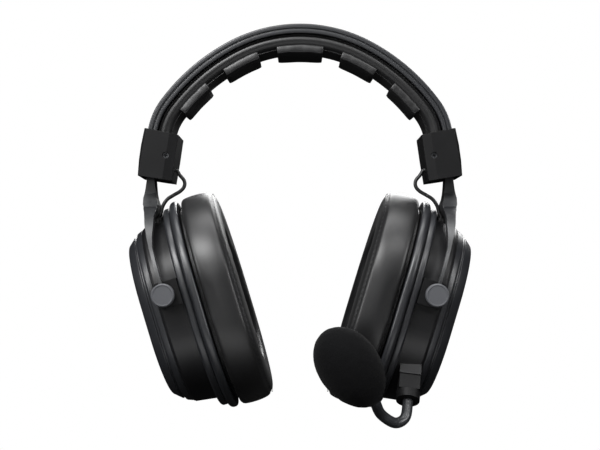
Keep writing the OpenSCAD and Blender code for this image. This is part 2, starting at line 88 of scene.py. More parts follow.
def walkDepth(point):
    # Depth of a point below the arch's outer line, in millimetres.
    x, z = abs(point[0]) / mm, point[2] / mm
    a, b = 0.0, arch["end"]
    for _ in range(24):
        s = (a + b) / 2
        px, pz, h = walk(s)
        if (-x - px) * -math.cos(h) + (z - pz) * -math.sin(h) > 0:
            a = s
        else:
            b = s
    px, pz, h = walk(s)
    return (-x - px) * math.sin(h) - (z - pz) * math.cos(h)


def archPoint(s, depth, y):
    x, z, h = walk(abs(s))
    x, z = x + depth * math.sin(h), z - depth * math.cos(h)
    return (-x if s > 0 else x, y, z)


def capPoint(p):
    # From the right end cap's own frame.
    a = math.radians(cap["lean"])
    return (p[0] * math.cos(a) + p[2] * math.sin(a) + cap["x"], p[1],
            p[2] * math.cos(a) - p[0] * math.sin(a) + cap["z"])


def cupPoint(p):
    # From the right cup's own frame, whose x runs inwards from the outer cover.
    a = math.radians(cup["tilt"])
    u, w = p[0] - cup["pivot"][0], p[2] - cup["pivot"][1]
    x, y, z = cup["hinge"]
    return (u * math.cos(a) - w * math.sin(a) + x, p[1], u * math.sin(a) + w * math.cos(a) + z)


def cupStation(point, left):
    # (radius, station) of a point round the cup's oval, in millimetres.
    a = math.radians(cup["tilt"])
    x = (-point[0] if left else point[0]) / mm - cup["hinge"][0]
    y, z = point[1] / mm, point[2] / mm - cup["hinge"][2]
    u = x * math.cos(a) + z * math.sin(a) + cup["pivot"][0]
    w = z * math.cos(a) - x * math.sin(a) + cup["pivot"][1]
    reach = max(abs(w) - cup["straight"], 0.0)
    return math.hypot(y, reach), u


def micPoint(out):
    # A point out along the microphone plug's axis.
    a, b = (math.radians(t) for t in mic["turn"])
    along = (math.cos(a) * math.sin(b), -math.sin(a), math.cos(a) * math.cos(b))
    return cupPoint([r + out * d for r, d in zip(mic["root"], along)])


def buildMesh(name, points, faces, smooth=True):
    mesh = bpy.data.meshes.new(name)
    mesh.from_pydata(toMetres(points), [], faces)
    mesh.validate()
    mesh.polygons.foreach_set("use_smooth", [smooth] * len(mesh.polygons))
    mesh.update()
    obj = bpy.data.objects.new(name, mesh)
    scene.collection.objects.link(obj)
    return obj


def crease(obj, degrees=38):
    # Keeps real corners crisp under smooth shading.
    obj.data.set_sharp_from_angle(angle=math.radians(degrees))
    return obj


def gridFaces(rows, columns, closeRows=False):
    faces = []
    for i in range(rows if closeRows else rows - 1):
        for k in range(columns):
            a, b = i * columns + k, i * columns + (k + 1) % columns
            c = (i + 1) % rows * columns
            faces.append((a, b, c + (k + 1) % columns, c + k))
    return faces


def roundCorners(points, radius, steps=4):
    # Swaps each corner of a closed outline for a short arc-like curve.
    out, n = [], len(points)
    for i in range(n):
        a, b, c = (Vector(points[j % n]) for j in (i - 1, i, i + 1))
        reach = min(radius, (a - b).length * 0.45, (c - b).length * 0.45)
        p, q = b + (a - b).normalized() * reach, b + (c - b).normalized() * reach
        for k in range(steps + 1):
            t = k / steps
            out.append(tuple((1 - t) ** 2 * p + 2 * t * (1 - t) * b + t * t * q))
    return out


def catmullRom(a, b, c, d, t):
    return 0.5 * (2 * b + (c - a) * t + (2 * a - 5 * b + 4 * c - d) * t * t
                  + (3 * b - a - 3 * c + d) * t ** 3)


def smoothOutline(points, per=5):
    # A closed curve through the points.
    pts, n, out = [np.array(p, float) for p in points], len(points), []
    for i in range(n):
        a, b, c, d = pts[i - 1], pts[i], pts[(i + 1) % n], pts[(i + 2) % n]
        out += [tuple(catmullRom(a, b, c, d, k / per)) for k in range(per)]
    return out


def smoothPath(points, per):
    # An open curve through the points.
    pts = [np.array(p, float) for p in points]
    pts = [2 * pts[0] - pts[1]] + pts + [2 * pts[-1] - pts[-2]]
    out = []
    for i in range(1, len(pts) - 2):
        out += [catmullRom(*pts[i - 1:i + 3], k / per) for k in range(per)]
    return out + [pts[-2]]


def endFaces(rows, columns):
    # The faces that close a swept grid's first and last rows.
    last = (rows - 1) * columns
    return [tuple(range(columns - 1, -1, -1)), tuple(last + k for k in range(columns))]


def tube(name, path, radius, sides):
    path = [Vector(p) for p in path]
    points, across = [], Vector((0.3, 1, 0.2))
    for i, p in enumerate(path):
        along = (path[min(i + 1, len(path) - 1)] - path[max(i - 1, 0)]).normalized()
        flat = along.cross(across).normalized()
        up = along.cross(flat)
        points += [p + radius * (math.cos(a) * flat + math.sin(a) * up)
                   for a in (2 * math.pi * k / sides for k in range(sides))]
    return buildMesh(name, points, gridFaces(len(path), sides) + endFaces(len(path), sides))


def archSweep(name, start, end, rows, section):
    # Sweeps a closed (y, depth) outline down the arch; section may change along it.
    points, columns = [], 0
    for i in range(rows):
        t = i / (rows - 1)
        loop = section(t)
        columns = len(loop)
        points += [archPoint(start + (end - start) * t, d, y) for y, d in loop]
    faces = gridFaces(rows, columns) + endFaces(rows, columns)
    return fixNormals(buildMesh(name, points, faces))


def ovalSweep(name, outline, left, around=72):
    # Sweeps a closed (radius, station) outline round the cup's oval.
    straight, ring = cup["straight"], []
    for a in (2 * math.pi * k / around for k in range(around)):
        if abs(math.sin(a)) < 1e-9:
            turn = straight if math.cos(a) < 0 else -straight
            ring += [(a, turn), (a, 0.0), (a, -turn)]
        else:
            ring.append((a, math.copysign(straight, math.sin(a))))
    points = []
    for a, lift in ring:
        points += [mirrored(cupPoint((u, r * math.cos(a), r * math.sin(a) + lift)), left)
                   for r, u in outline]
    return fixNormals(buildMesh(name, points, gridFaces(len(ring), len(outline), True)))


def fixNormals(obj):
    # Joins points that meet and turns every face outwards.
    work = bmesh.new()
    work.from_mesh(obj.data)
    bmesh.ops.remove_doubles(work, verts=work.verts, dist=1e-6)
    bmesh.ops.recalc_face_normals(work, faces=work.faces)
    work.to_mesh(obj.data)
    work.free()
    return obj


def applyModifiers(obj):
    graph = bpy.context.evaluated_depsgraph_get()
    mesh = bpy.data.meshes.new_from_object(obj.evaluated_get(graph), depsgraph=graph)
    obj.modifiers.clear()
    obj.data = mesh
    return obj


def toLinear(color):
    channels = [int(color[i:i + 2], 16) / 255 for i in (1, 3, 5)]
    return [c / 12.92 if c <= 0.04045 else ((c + 0.055) / 1.055) ** 2.4 for c in channels] + [1.0]


def addNode(tree, kind, values=None, links=None, **settings):
    node = tree.nodes.new(kind)
    for key, value in settings.items():
        setattr(node, key, value)
    for key, value in (values or {}).items():
        node.inputs[key].default_value = value
    for key, socket in (links or {}).items():
        tree.links.new(socket, node.inputs[key])
    return node


def mixColour(tree, factor, a, b):
    node = addNode(tree, "ShaderNodeMix", data_type="RGBA")
    for socket, value in ((node.inputs[0], factor), (node.inputs[6], a), (node.inputs[7], b)):
        if isinstance(value, bpy.types.NodeSocket):
            tree.links.new(value, socket)
        else:
            socket.default_value = value
    return node.outputs[2]


def mathNode(tree, operation, *values):
    node = addNode(tree, "ShaderNodeMath", operation=operation)
    for socket, value in zip(node.inputs, values):
        if isinstance(value, bpy.types.NodeSocket):
            tree.links.new(value, socket)
        else:
            socket.default_value = value
    return node.outputs[0]


def patternHeight(tree, look, place):
    # The surface's own pattern as a height, or None for a plain moulded surface.
    kind, scale = look.get("pattern"), look.get("patternScale", 500)
    if kind == "leather":
        cells = addNode(tree, "ShaderNodeTexVoronoi", {"Scale": scale, "Randomness": 1.0},
                        {"Vector": place}, feature="SMOOTH_F1")
        return cells.outputs["Distance"]
    if kind == "foam":
        cells = addNode(tree, "ShaderNodeTexVoronoi", {"Scale": scale}, {"Vector": place},
                        feature="F1")
        return mathNode(tree, "POWER", cells.outputs["Distance"], 0.6)
    if kind == "weave":
        split = addNode(tree, "ShaderNodeSeparateXYZ", links={"Vector": place})
        waves = [mathNode(tree, "SINE", mathNode(tree, "MULTIPLY", split.outputs[i], scale))
                 for i in (0, 1, 2)]
        return mathNode(tree, "MULTIPLY", mathNode(tree, "MULTIPLY", waves[0], waves[1]), waves[2])
    if kind == "brushed":
        stretch = addNode(tree, "ShaderNodeMapping", {"Scale": (1.0, 1.0, 0.03)},
                          {"Vector": place})
        lines = addNode(tree, "ShaderNodeTexNoise", {"Scale": scale, "Detail": 2},
                        {"Vector": stretch.outputs[0]})
        return lines.outputs["Fac"]
    return None


def finishMaterial(name, look):
    # One recipe: a broad mottle for colour and sheen, a fine grain for bump, worn edges,
    # and a pattern of its own for leather, woven cloth, foam or brushed metal.
    material = bpy.data.materials.new(name)
    material.use_nodes = True
    tree = material.node_tree
    tree.nodes.clear()
    place = addNode(tree, "ShaderNodeTexCoord").outputs["Object"]
    broad = addNode(tree, "ShaderNodeTexNoise",
                    {"Scale": look.get("mottle", 60), "Detail": 4, "Roughness": 0.6},
                    {"Vector": place}).outputs["Fac"]
    fine = addNode(tree, "ShaderNodeTexNoise",
                   {"Scale": look.get("grain", 1800), "Detail": 3, "Roughness": 0.7},
                   {"Vector": place}).outputs["Fac"]
    colour = mixColour(tree, broad, toLinear(look["color"]), toLinear(look["tint"]))
    sharp = addNode(tree, "ShaderNodeNewGeometry").outputs["Pointiness"]
    edge = mathNode(tree, "MULTIPLY", mathNode(tree, "SUBTRACT", sharp, 0.52), 12.0)
    edge = mathNode(tree, "MULTIPLY", mathNode(tree, "MAXIMUM", edge, 0.0), broad)
    worn = mathNode(tree, "MINIMUM", mathNode(tree, "MULTIPLY", edge, look.get("wear", 0.3)), 0.6)
    colour = mixColour(tree, worn, colour, toLinear(look.get("wornColor", "#8a8b8e")))
    low, high = look["roughness"]
    rough = mathNode(tree, "ADD", mathNode(tree, "MULTIPLY", broad, high - low), low)
    height = mathNode(tree, "MULTIPLY", fine, look.get("grainDepth", 0.4))
    pattern = patternHeight(tree, look, place)
    if pattern is not None:
        height = mathNode(tree, "ADD", height,
                          mathNode(tree, "MULTIPLY", pattern, look.get("patternDepth", 1.0)))
        # Painted shade: the colour turns towards the paler patternColor where the pattern is strong
        # and stays dark where it is weak, in the pores and between the yarns, standing in for the
        # shade there.
        if look.get("patternPaintedShade"):
            shade = mathNode(tree, "MULTIPLY", mathNode(tree, "ABSOLUTE", pattern),
                             look["patternPaintedShade"])
            colour = mixColour(tree, shade, colour, toLinear(look["patternColor"]))
    bump = addNode(tree, "ShaderNodeBump", {"Strength": look.get("bump", 0.25),
                                            "Distance": look.get("bumpDistance", 0.0001)},
                   {"Height": height})
    if look.get("roundEdges"):
        rounding = addNode(tree, "ShaderNodeBevel", {"Radius": look["roundEdges"] * mm})
        tree.links.new(rounding.outputs[0], bump.inputs["Normal"])
    shader = addNode(tree, "ShaderNodeBsdfPrincipled",
                     {"Metallic": look.get("metallic", 0.0),
                      "Specular IOR Level": look.get("specular", 0.5),
                      "Sheen Weight": look.get("sheen", 0.0), "Sheen Roughness": 0.5},
                     {"Base Color": colour, "Roughness": rough, "Normal": bump.outputs[0]})
    out = addNode(tree, "ShaderNodeOutputMaterial")
    tree.links.new(shader.outputs[0], out.inputs["Surface"])
    return material


def finishes():
    # Injection moulded plastics with a fine spark-eroded grain, some with rounded edges.
    plastic = dict(color="#101011", tint="#161618", roughness=(0.36, 0.44), grain=2600,
                   bump=0.05, wear=0.05, wornColor="#3a3b3d", roundEdges=0.4, specular=0.4)
    looks = {
        "SatinBlackPlastic": dict(plastic),
        "SatinBandPlastic": dict(plastic, color="#202123", tint="#27282b",
                                 roughness=(0.34, 0.42), roundEdges=0, wear=0.0,
                                 bump=0.02, specular=0.5),
        "MattBlackPlastic": dict(plastic, color="#0b0b0c", tint="#111112", specular=0.22,
                                 roughness=(0.45, 0.55)),
        "GraphiteKnobPlastic": dict(plastic, color="#414245", tint="#48494c",
                                    roughness=(0.42, 0.52), roundEdges=0.25),
        "InnerBlackPlastic": dict(plastic, color="#0c0c0d", tint="#121213",
                                  roughness=(0.5, 0.62), roundEdges=0),
        # Protein leather over foam: small smooth cells pressed into a satin skin.
        "Leatherette": dict(color="#0f0f10", tint="#161617", roughness=(0.38, 0.48), grain=900,
                            pattern="leather", patternScale=1500, patternDepth=0.8, bump=0.07,
                            bumpDistance=0.00012, wear=0.03, sheen=0.03, mottle=35),
        # Knitted spacer mesh: crossed waves, with painted shade for the dark holes between the
        # yarns.
        "SpacerMesh": dict(color="#0c0c0d", tint="#111112", roughness=(0.6, 0.75),
                           pattern="weave", patternScale=5200, patternDepth=1.0, bump=0.5,
                           bumpDistance=0.00015, patternPaintedShade=0.15, patternColor="#1a1a1b",
                           sheen=0.0, wear=0.0),
        # Woven cloth, finer and duller than the mesh, with the same painted shade between its
        # threads.
        "SpeakerCloth": dict(color="#0c0c0d", tint="#121213", roughness=(0.8, 0.9),
                             pattern="weave", patternScale=7000, patternDepth=1.0, bump=0.5,
                             patternPaintedShade=0.2, patternColor="#1c1d1e", sheen=0.05, wear=0.0),
        # Open-cell foam: rounded cells with deep pores darkened by painted shade, and no shine.
        "WindscreenFoam": dict(color="#060607", tint="#0a0a0b", roughness=(0.9, 1.0),
                               pattern="foam", patternScale=1500, patternDepth=1.0, bump=0.6,
                               bumpDistance=0.0002, patternPaintedShade=0.08, patternColor="#1c1d1f",
                               sheen=0.03, wear=0.0, specular=0.1),
        # Smooth extruded sleeve over the boom, with hardly any grain.
        "SatinBoomRubber": dict(color="#2a2b2d", tint="#323336", roughness=(0.3, 0.38), grain=2600,
                                bump=0.03, wear=0.0),
        # Plain moulded rubber for leads and grommets.
        "BlackRubber": dict(color="#101011", tint="#171718", roughness=(0.4, 0.52), grain=2200,
                            bump=0.06, wear=0.04, wornColor="#3a3b3d"),
        # Polyester thread: a fine grain stands in for its twist.
        "SewingThread": dict(color="#0e0e0f", tint="#141415", roughness=(0.55, 0.7),
                             grain=4000, bump=0.2, wear=0.0),
        # Powder coat over pressed steel: a soft orange peel, bright where it has rubbed.
        "PowderCoatedSteel": dict(color="#111213", tint="#17181a", roughness=(0.36, 0.44),
                                  grain=1200, bump=0.07, metallic=0.0, wear=0.15,
                                  wornColor="#77787a", roundEdges=0.35),
        # Chemically blackened steel, paler where a driver has rubbed.
        "BlackenedScrewSteel": dict(color="#1a1b1d", tint="#242527", roughness=(0.35, 0.5),
                                    metallic=0.7, grain=2500, bump=0.15, wear=0.3),
        # Noise stretched along one axis makes the brushing lines.
        "BrushedSteel": dict(color="#8f9093", tint="#a5a6a8", roughness=(0.28, 0.4),
                             metallic=1.0, pattern="brushed", patternScale=3000,
                             patternDepth=0.5, bump=0.15, wear=0.2),
        # Plated magnet: even metal with a fine grain.
        "MagnetSteel": dict(color="#8f9194", tint="#a2a4a7", roughness=(0.3, 0.45),
                            metallic=1.0, grain=1200, bump=0.2, wear=0.3),
        # Thin amber film, opaque here, with a low roughness.
        "AmberMylar": dict(color="#8a5a2e", tint="#a06b3a", roughness=(0.25, 0.35),
                           grain=800, bump=0.15, wear=0.0),
        # Green lacquer over the board's copper.
        "BoardSolderMask": dict(color="#12402a", tint="#185035", roughness=(0.35, 0.5),
                                grain=1500, bump=0.2, wear=0.2),
        # Crinkled foil pouch: half metal with a coarse grain.
        "BatteryFoil": dict(color="#8b9096", tint="#9da2a8", roughness=(0.3, 0.5),
                            metallic=0.6, grain=700, bump=0.3, wear=0.1),
    }
    return {name: finishMaterial(name, look) for name, look in looks.items()}


materials = finishes()
print("stage: materials made", len(materials))


def paint(obj, *names):
    obj.data.materials.clear()
    for name in names:
        obj.data.materials.append(materials[name])
    return obj


# The finish of each CAD node, by how its name starts.
nodeFinish = {
    "SatinBlackPlastic": ["cup_housing"],
    "MattBlackPlastic": ["end_cap", "slider_guide", "pivot_blocks", "baffle", "mic_socket",
                         "line_socket", "volume_wheel", "mic_housing", "mic_plug"],
    "InnerBlackPlastic": ["driver_basket"],
    "GraphiteKnobPlastic": ["pivot_knobs", "power_button"],
    "PowderCoatedSteel": ["yoke"],
    "BlackenedScrewSteel": ["end_cap_screws", "baffle_screws"],
    "BrushedSteel": ["headband_spring", "slider_detents", "usb_socket", "mic_capsule"],
    "MagnetSteel": ["driver_magnet"],
    "AmberMylar": ["driver_cone"],
    "BoardSolderMask": ["circuit_board"],
    "BatteryFoil": ["battery"],
    "SpeakerCloth": ["ear_cloth"],
    "BlackRubber": ["headband_lead", "lead_grommet", "speaker_lead", "mic_boom_lower",
                    "mic_boom_upper"],
    "Leatherette": ["headband_cushion", "head_pad", "ear_pad"],
    "SatinBandPlastic": ["headband_strap", "outer_cover", "trim_ring", "pad_frame"],
    "WindscreenFoam": ["mic_windscreen"],
}


def paintNodes():
    rules = sorted(((prefix, look) for look, prefixes in nodeFinish.items()
                    for prefix in prefixes), key=lambda r: -len(r[0]))
    for name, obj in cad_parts.items():
        paint(obj, next(look for prefix, look in rules if name.startswith(prefix)))


paintNodes()
print("stage: CAD nodes painted")


# The headband's finer pieces, each in the place of its CAD node.

strapLook = dict(edge=0.8, groove=0.4, grooveDepth=0.6, rows=225)
cushionLook = dict(rows=225)


def makeStrap():
    half, t = arch["width"] / 2, arch["strap"]
    g, deep = strapLook["groove"], strapLook["grooveDepth"]
    rim = [(half, 0.0), (half, t * 0.52 - g), (half - deep, t * 0.52 - g / 2),
           (half - deep, t * 0.52 + g / 2), (half, t * 0.52 + g), (half, t)]
    outline = roundCorners(rim + [(-y, d) for y, d in reversed(rim)], strapLook["edge"], 3)
    strap = archSweep("strapShell", -arch["end"], arch["end"], strapLook["rows"],
                      lambda t: outline)
    paint(crease(strap), "SatinBandPlastic")
    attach(strap, "headband")
    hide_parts("headband_strap")


def makeCushion():
    half, a, low = arch["width"] / 2 - 0.05, arch["cushionTop"] + 0.1, arch["cushionLow"] - 0.1
    rim = [(half - 1.6, a), (half - 0.5, a + 0.7), (half, a + 2.2), (half - 0.25, a + 3.5),
           (half - 1.1, a + 4.9), (half - 2.6, a + 6.1), (half - 4.6, low)]
    outline = smoothOutline(rim + [(-y, d) for y, d in reversed(rim)], 5)
    outline = [(y, min(max(d, a), low)) for y, d in outline]
    cushion = archSweep("cushionRoll", -arch["end"], arch["end"], cushionLook["rows"],
                        lambda t: outline)
    paint(crease(cushion), "Leatherette")
    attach(cushion, "headband")
    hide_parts("headband_cushion")


headPads = {"centre": (0.0, 14.5), "upper_left": (37.6, 11.5), "upper_right": (-37.6, 11.5),
            "lower_left": (72.5, 10.7), "lower_right": (-72.5, 10.7)}
headPadLook = dict(rows=37, columns=56, power=5.0, endPower=7.0, endHeight=(0.55, 0.45),
                   overhang=0.2, taper=0.6, held=0.8, swell=0.0007, frames=20, pressure=4.0,
                   relax=10, meshDeep=1.1, meshIn=2.4)
# The pads' skin while it is inflated.
padSkin = dict(quality=6, mass=0.2, tension_stiffness=12, compression_stiffness=12,
               shear_stiffness=6, bending_stiffness=0.6, shrink_min=-0.015)


def swell(obj, held, limit, pressure, frames):
    # Inflates the piece as cloth, keeps the held points still and caps how far others go.
    start = np.array([v.co for v in obj.data.vertices])
    group = obj.vertex_groups.new(name="held")
    group.add([int(i) for i in np.nonzero(held)[0]], 1.0, "REPLACE")
    cloth = obj.modifiers.new("cloth", "CLOTH")
    for key, value in padSkin.items():
        setattr(cloth.settings, key, value)
    cloth.settings.use_pressure = True
    cloth.settings.uniform_pressure_force = pressure
    cloth.settings.effector_weights.gravity = 0
    cloth.settings.vertex_group_mass = "held"
    cloth.collision_settings.use_collision = False
    cloth.point_cache.frame_start, cloth.point_cache.frame_end = 1, frames
    for f in range(1, frames + 1):
        scene.frame_set(f)
    graph = bpy.context.evaluated_depsgraph_get()
    moved = np.array([v.co for v in obj.evaluated_get(graph).data.vertices])
    obj.modifiers.clear()
    obj.vertex_groups.clear()
    scene.frame_set(1)
    step = moved - start
    length = np.linalg.norm(step, axis=1, keepdims=True)
    step *= np.minimum(1.0, limit / np.maximum(length, 1e-9))
    obj.data.vertices.foreach_set("co", (start + step).astype(np.float32).ravel())
    obj.data.update()


def relax(obj, rounds):
    # Evens out small wrinkles.
    smooth = obj.modifiers.new("relax", "SMOOTH")
    smooth.factor, smooth.iterations = 0.5, rounds
    applyModifiers(obj)


def makeHeadPad(name, middle, half):
    look = headPadLook
    low, high = arch["rollLow"] + 0.1, arch["top"] - 0.1
    w = arch["padWidth"] / 2 + look["overhang"]
    mid, tall = (low + high) / 2, (high - low) / 2
    angles = [2 * math.pi * k / look["columns"] for k in range(look["columns"])]
    endLow, endRise = look["endHeight"]

    def section(t):
        v = min(abs(2 * t - 1), 0.9995)
        shrink = (1 - v ** look["endPower"]) ** (1 / look["endPower"])
        loop = []
        for a in angles:
            c, s = math.cos(a), math.sin(a)
            y = (math.copysign(abs(c) ** (2 / look["power"]), c)
                 * (w - look["taper"] + look["taper"] * shrink))
            d = math.copysign(abs(s) ** (2 / look["power"]), s)
            d = mid + tall * (d if d < 0 else d * (endLow + endRise * shrink))
            loop.append((y, d))
        return loop

    start, end = middle - half - look["overhang"], middle + half + look["overhang"]
    pad = archSweep("headPad_" + name, start, end, look["rows"], section)
    depth = np.array([walkDepth(v.co) for v in pad.data.vertices])
    swell(pad, depth < low + look["held"], look["swell"], look["pressure"], look["frames"])
    relax(pad, look["relax"])
    paint(pad, "Leatherette", "SpacerMesh")
    for face in pad.data.polygons:
        inward = walkDepth(face.center)
        y = abs(face.center.y) / mm
        if inward > high - look["meshDeep"] and y < w - look["meshIn"]:
            face.material_index = 1
    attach(pad, "headband")
    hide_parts("head_pad_" + name)


makeStrap()
makeCushion()
for padName, (padMiddle, padHalf) in headPads.items():
    makeHeadPad(padName, padMiddle, padHalf)
print("stage: headband dressed")


def sideOf(left):
    return "left" if left else "right"


# The cups' outlines, as (radius, station) round and along each cup's axis.
coverOutline = [(0.0, -13.6), (30.2, -13.6), (31.4, -13.1), (35.0, -9.0), (34.3, -8.5),
                (34.4, -7.8), (36.3, -7.3), (37.5, -4.25), (34.7, -4.25), (33.6, -7.0),
                (30.0, -11.4), (0.0, -11.4)]
ringOutline = [(38.0, 8.85), (43.4, 8.85), (44.4, 9.8), (44.4, 12.0), (43.8, 12.78),
               (38.0, 12.78)]
frameOutline = [(34.1, 12.85), (45.3, 12.85), (46.3, 13.5), (46.9, 14.6), (46.9, 16.2),
                (46.2, 17.15), (40.1, 17.15), (40.1, 15.5), (34.1, 15.5)]
earPadOutline = [(23.7, 17.4), (32.0, 17.3), (41.4, 17.4), (41.6, 19.3), (44.4, 19.8),
                 (46.3, 21.0), (46.9, 24.0), (47.0, 28.6), (46.5, 33.0), (45.2, 36.1),
                 (42.0, 38.0), (37.0, 38.6), (31.5, 38.2), (26.6, 36.5), (24.0, 32.8),
                 (23.4, 26.0)]
earPadLook = dict(around=120, held=19.6, swell=0.0009, pressure=4.0, frames=20, relax=3,
                  seam=(45.35, 35.9), seamWidth=1.1, seamDepth=0.55)


def sweepPiece(name, outline, left, node, look, corner=0.5, around=96):
    if outline[0][0] < 0.01:
        body = roundCorners([(-1.0, outline[0][1])] + outline[1:-1] + [(-1.0, outline[-1][1])],
                            corner, 3)
        body = [(max(r, 0.0), u) for r, u in body]
        body = [p for i, p in enumerate(body) if i == 0 or p != body[i - 1]]
    else:
        body = roundCorners(outline, corner, 3)
    piece = ovalSweep(name + "_" + sideOf(left), body, left, around)
    paint(crease(piece), look)
    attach(piece, "cup_" + sideOf(left))
    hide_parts(node + "_" + sideOf(left))


def makeEarPad(left):
    look = earPadLook
    outline = smoothOutline(earPadOutline, 4)
    pad = ovalSweep("earPad_" + sideOf(left), outline, left, look["around"])
    stations = np.array([cupStation(v.co, left) for v in pad.data.vertices])
    swell(pad, stations[:, 1] < look["held"], look["swell"], look["pressure"], look["frames"])
    relax(pad, look["relax"])
    stations = np.array([cupStation(v.co, left) for v in pad.data.vertices])
    normals = np.array([v.normal for v in pad.data.vertices])
    near = np.hypot(stations[:, 0] - look["seam"][0], stations[:, 1] - look["seam"][1])
    pull = look["seamDepth"] * mm * np.exp(-(near / look["seamWidth"]) ** 2)
    co = np.array([v.co for v in pad.data.vertices]) - normals * pull[:, None]
    pad.data.vertices.foreach_set("co", co.astype(np.float32).ravel())
    paint(pad, "Leatherette")
    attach(pad, "cup_" + sideOf(left))
    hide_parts("ear_pad_" + sideOf(left))


def rimPath(radius, station, left, around=180):
    # A closed line round the cup's oval.
    path = []
    for k in range(around):
        a = 2 * math.pi * (k + 0.5) / around
        lift = cup["straight"] if math.sin(a) > 0 else -cup["straight"]
        path.append(mirrored(cupPoint((station, radius * math.cos(a),
                                       radius * math.sin(a) + lift)), left))
    return path


for isLeft in (False, True):
    sweepPiece("outerCover", coverOutline, isLeft, "outer_cover", "SatinBandPlastic")
    sweepPiece("trimRing", ringOutline, isLeft, "trim_ring", "SatinBandPlastic")
    sweepPiece("padFrame", frameOutline, isLeft, "pad_frame", "SatinBandPlastic")
    makeEarPad(isLeft)
print("stage: ear cups dressed")


# Each speaker lead leaves its end cap, loops outside the yoke and enters the cup.

leadRoute = ([capPoint((x, -5.5, 6.2)) for x in (5.5, 7.6, 9.7)]
             + [(-62.6, -5.5, -62), (-60.4, -5.6, -64.8), (-60.3, -5.7, -67.8),
                (-62.3, -5.8, -70.3), (-65.8, -5.9, -72.4), (-69.1, -5.9, -74.6),
                (-71.4, -5.9, -78), (-72.3, -5.9, -81.6)]
             + [cupPoint((5.9, -6, w)) for w in (49.9, 47.7, 45.5)])
leadLook = dict(radius=0.93, steps=6, joint=42, sides=16)


def makeLeads(left):
    name = sideOf(left)
    path = [mirrored(p, left) for p in smoothPath(leadRoute, leadLook["steps"])]
    middle = leadLook["joint"]
    parts = (("upper", path[:middle + 1], "headband", "yoke_" + name),
             ("lower", path[middle:], "yoke_" + name, "cup_" + name))
    for part, points, a, b in parts:
        lead = tube("speakerLead_" + part + "_" + name, points, leadLook["radius"],
                    leadLook["sides"])
        paint(lead, "BlackRubber")
        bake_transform(lead)
        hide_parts("speaker_lead_" + name)


for isLeft in (False, True):
    makeLeads(isLeft)
print("stage: leads laid")


# The microphone's boom leaves its plug, bends twice and ends inside the foam.

foamMid, foamDir = Vector(mic["foamMid"]), Vector(mic["foamDir"]).normalized()
boomRoute = ([micPoint(mic["collar"] - 3), micPoint(mic["collar"] + 1)]
             + [(-51.9, -45, -182.2), (-49.8, -47, -184.8), (-46.4, -49.5, -185.6),
                (-42.6, -52.5, -183.8), (-38.4, -56.5, -180)]
             + [tuple(foamMid - back * foamDir) for back in (21, 17)])
boomLook = dict(steps=10, joint=40, sides=28)


def makeBoom():
    path = [mirrored(p, True) for p in smoothPath(boomRoute, boomLook["steps"])]
    split = boomLook["joint"]
    parts = (("lower", path[:split + 1], "mic_plug", "boom_middle"),
             ("upper", path[split:], "boom_middle", "mic_head"))
    for part, points, a, b in parts:
        boom = tube("micBoom_" + part, points, mic["boom"], boomLook["sides"])
        paint(boom, "SatinBoomRubber")
        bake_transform(boom)
        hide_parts("mic_boom_" + part)


foamLook = dict(rows=58, columns=96, egg=0.05, mouth=0.3, lump=0.16, lumpScale=0.35,
                fineScale=1.7)


def makeWindscreen():
    up = Vector((0.2, 1, 0.3))
    side = foamDir.cross(up).normalized()
    other = foamDir.cross(side)
    columns, points = foamLook["columns"], []
    half, wide = mic["foamLength"] / 2, mic["foamWidth"] / 2
    outline = [(wide * math.cos(t) * (1 + foamLook["egg"] * math.sin(t)), half * math.sin(t))
               for t in np.linspace(-math.pi / 2 + foamLook["mouth"], math.pi / 2 - 0.02,
                                    foamLook["rows"])]
    rim, low = outline[0]
    hem = [(mic["boom"], -14.0), (mic["boom"], low + 1.0), (3.2, low - 0.3),
           (rim - 0.7, low - 0.5), (rim - 0.1, low - 0.1)]
    outline = hem + outline + [(0.0001, half)]
    for r, along in outline:
        for k in range(columns):
            a = 2 * math.pi * k / columns
            p = foamMid + along * foamDir + r * (math.cos(a) * side + math.sin(a) * other)
            if r > 3.5:
                out = (p - foamMid).normalized()
                p += out * foamLook["lump"] * (noise.noise(p * foamLook["lumpScale"])
                                               + 0.5 * noise.noise(p * foamLook["fineScale"]) - 0.6)
            points.append(mirrored(p, True))
    foam = fixNormals(buildMesh("windscreenFoam", points, gridFaces(len(outline), columns)))
    paint(foam, "WindscreenFoam")
    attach(foam, "mic_head")
    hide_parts("mic_windscreen")


makeBoom()
makeWindscreen()
print("stage: microphone dressed")


